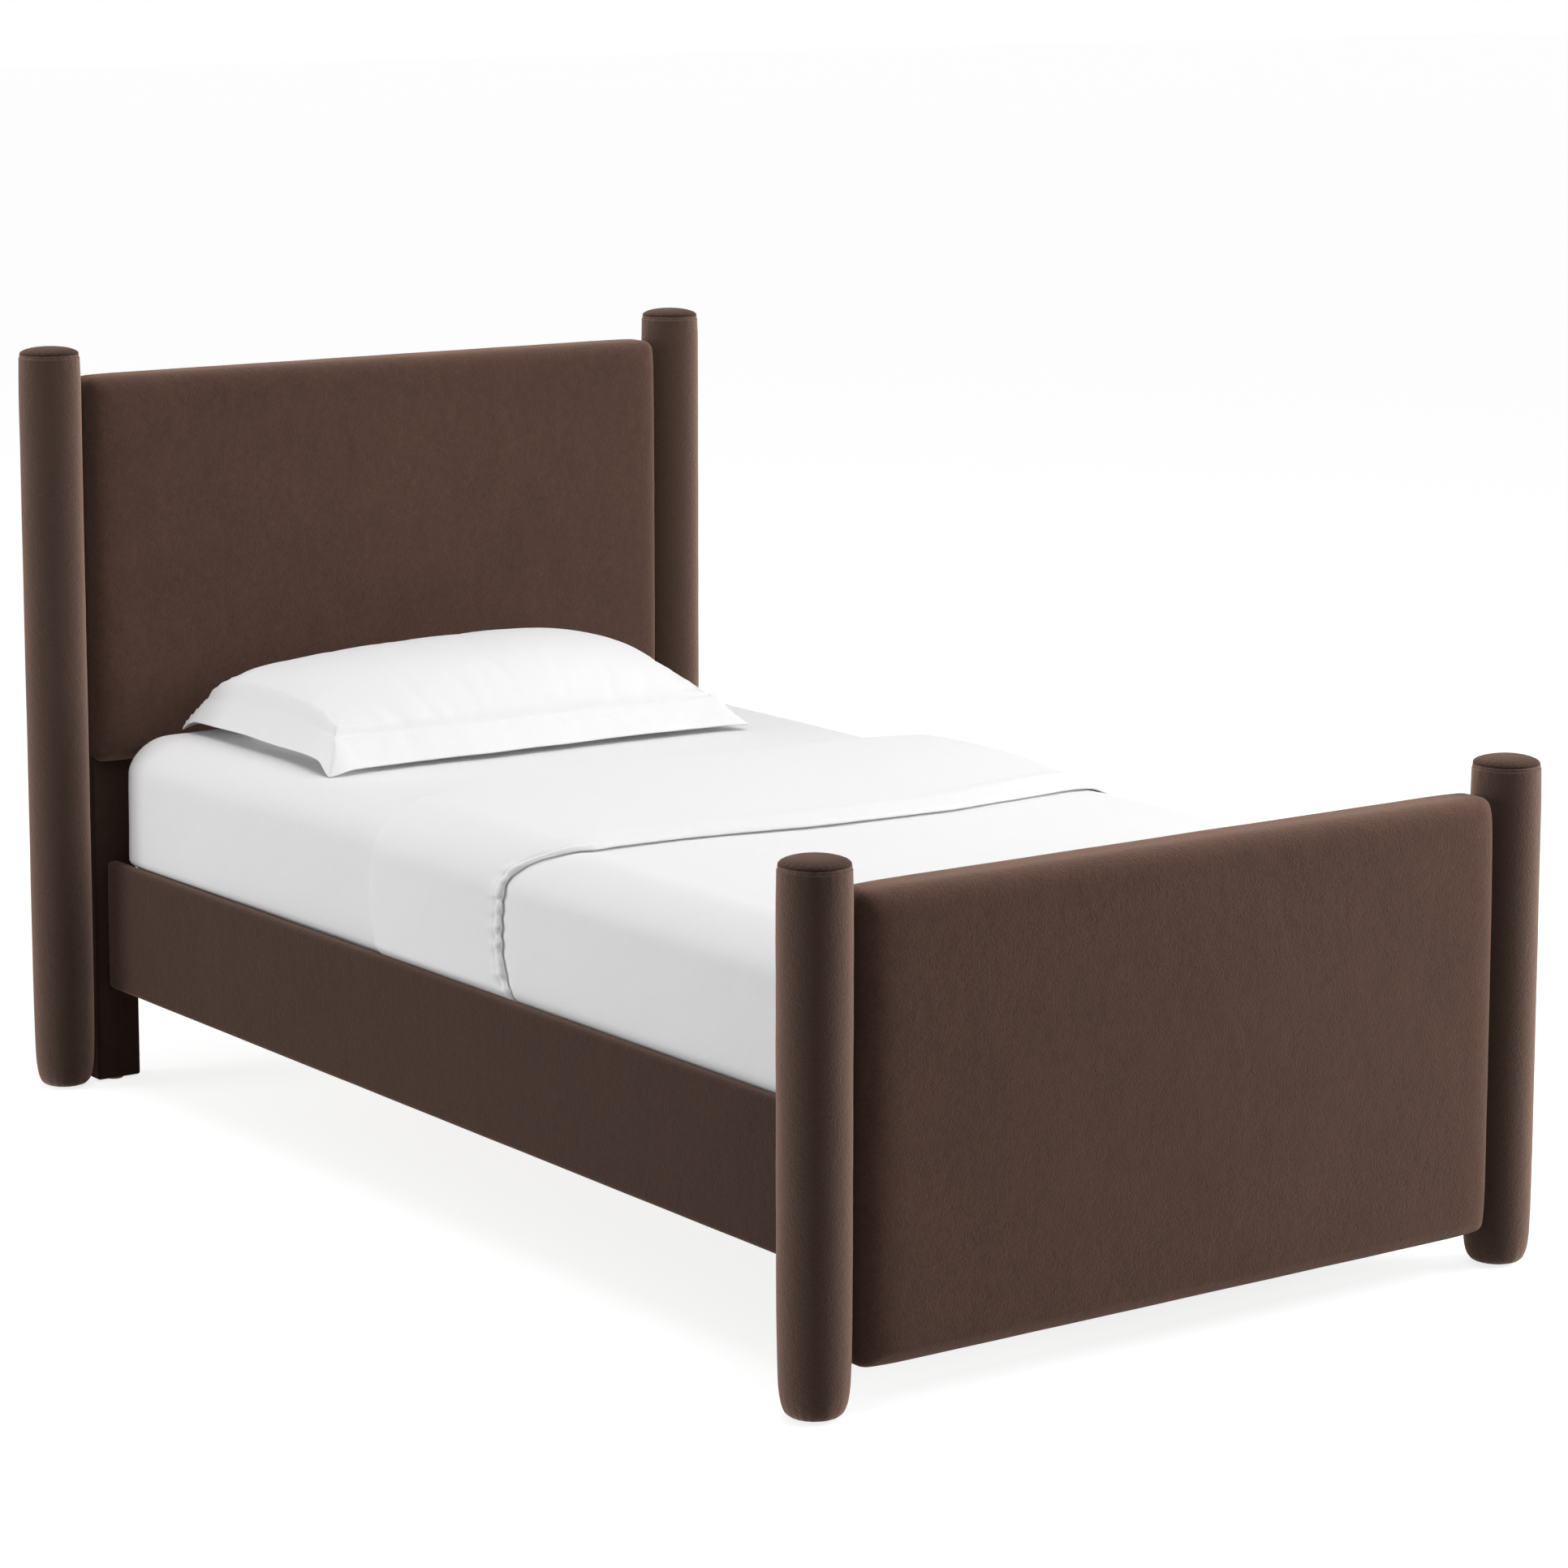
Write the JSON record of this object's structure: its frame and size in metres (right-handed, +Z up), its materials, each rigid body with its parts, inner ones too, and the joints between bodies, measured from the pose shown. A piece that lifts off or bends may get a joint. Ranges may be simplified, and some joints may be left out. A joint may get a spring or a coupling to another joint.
{
  "type": "platform bed",
  "caption": "Single platform bed with round velvet posts, a padded headboard and footboard, padded side rails, a slatted base, and a made-up mattress with pillow.",
  "frame": {"origin": "on the floor, midway between the four posts", "axes": "+X across the bed, to the right as seen from the foot end; +Y from foot to head; +Z up"},
  "size_m": [1.273, 2.152, 1.189],
  "materials": {
    "timber": "matte",
    "velvet_post": "matte",
    "velvet_cap": "matte",
    "nylon": "matte",
    "velvet_leg": "matte",
    "board": "matte",
    "foam": "matte",
    "velvet_panel": "matte",
    "zinc_steel": "satin",
    "velvet_rail": "matte",
    "screw_steel": "satin",
    "slat_wood": "satin",
    "foot_steel": "satin",
    "ticking": "matte",
    "sheet_cotton": "matte",
    "cover_cotton": "matte",
    "pillow_cotton": "matte"
  },
  "bodies": {
    "bed_frame": {"head_post_left_core": "timber", "head_post_left_cover": "velvet_post", "head_post_left_cap": "velvet_cap", "head_post_right_core": "timber", "head_post_right_cover": "velvet_post", "head_post_right_cap": "velvet_cap", "foot_post_left_core": "timber", "foot_post_left_cover": "velvet_post", "foot_post_left_cap": "velvet_cap", "foot_post_right_core": "timber", "foot_post_right_cover": "velvet_post", "foot_post_right_cap": "velvet_cap", "floor_glides": "nylon", "head_leg_left_core": "timber", "head_leg_left_cover": "velvet_leg", "head_leg_right_core": "timber", "head_leg_right_cover": "velvet_leg", "headboard_board": "board", "headboard_foam": "foam", "headboard_cover": "velvet_panel", "footboard_board": "board", "footboard_foam": "foam", "footboard_cover": "velvet_panel", "footboard_blocks": "timber", "studs": "zinc_steel", "rail_left_board": "board", "rail_left_cover": "velvet_rail", "rail_left_ledger": "timber", "rail_right_board": "board", "rail_right_cover": "velvet_rail", "rail_right_ledger": "timber", "hook_plates": "zinc_steel", "slot_plates": "zinc_steel", "plate_screws": "screw_steel", "wood_screws": "screw_steel", "slat_01": "slat_wood", "slat_02": "slat_wood", "slat_03": "slat_wood", "slat_04": "slat_wood", "slat_05": "slat_wood", "slat_06": "slat_wood", "slat_07": "slat_wood", "slat_08": "slat_wood", "slat_09": "slat_wood", "slat_10": "slat_wood", "slat_11": "slat_wood", "slat_12": "slat_wood", "centre_rail": "timber", "centre_leg_1": "timber", "centre_leg_2": "timber", "centre_leg_3": "timber", "threaded_inserts": "zinc_steel"},
    "mattress_set": {"mattress": "ticking", "fitted_sheet": "sheet_cotton"},
    "cover_set": {"bed_cover": "cover_cotton"},
    "pillow_set": {"pillow": "pillow_cotton"},
    "foot_1": {"levelling_foot_1": "foot_steel"},
    "foot_2": {"levelling_foot_2": "foot_steel"},
    "foot_3": {"levelling_foot_3": "foot_steel"}
  },
  "joints": [
    {"name": "mattress_lift", "type": "slide", "parent": "bed_frame", "child": "mattress_set", "axis": [0, 0, 1], "range_m": [0, 0.45]},
    {"name": "cover_lift", "type": "slide", "parent": "mattress_set", "child": "cover_set", "axis": [0, 0, 1], "range_m": [0, 0.3]},
    {"name": "pillow_lift", "type": "slide", "parent": "mattress_set", "child": "pillow_set", "axis": [0, 0, 1], "range_m": [0, 0.25]},
    {"name": "foot_1_thread", "type": "slide", "parent": "bed_frame", "child": "foot_1", "axis": [0, 0, 1], "range_m": [-0.01, 0.012]},
    {"name": "foot_2_thread", "type": "slide", "parent": "bed_frame", "child": "foot_2", "axis": [0, 0, 1], "range_m": [-0.01, 0.012]},
    {"name": "foot_3_thread", "type": "slide", "parent": "bed_frame", "child": "foot_3", "axis": [0, 0, 1], "range_m": [-0.01, 0.012]}
  ]
}
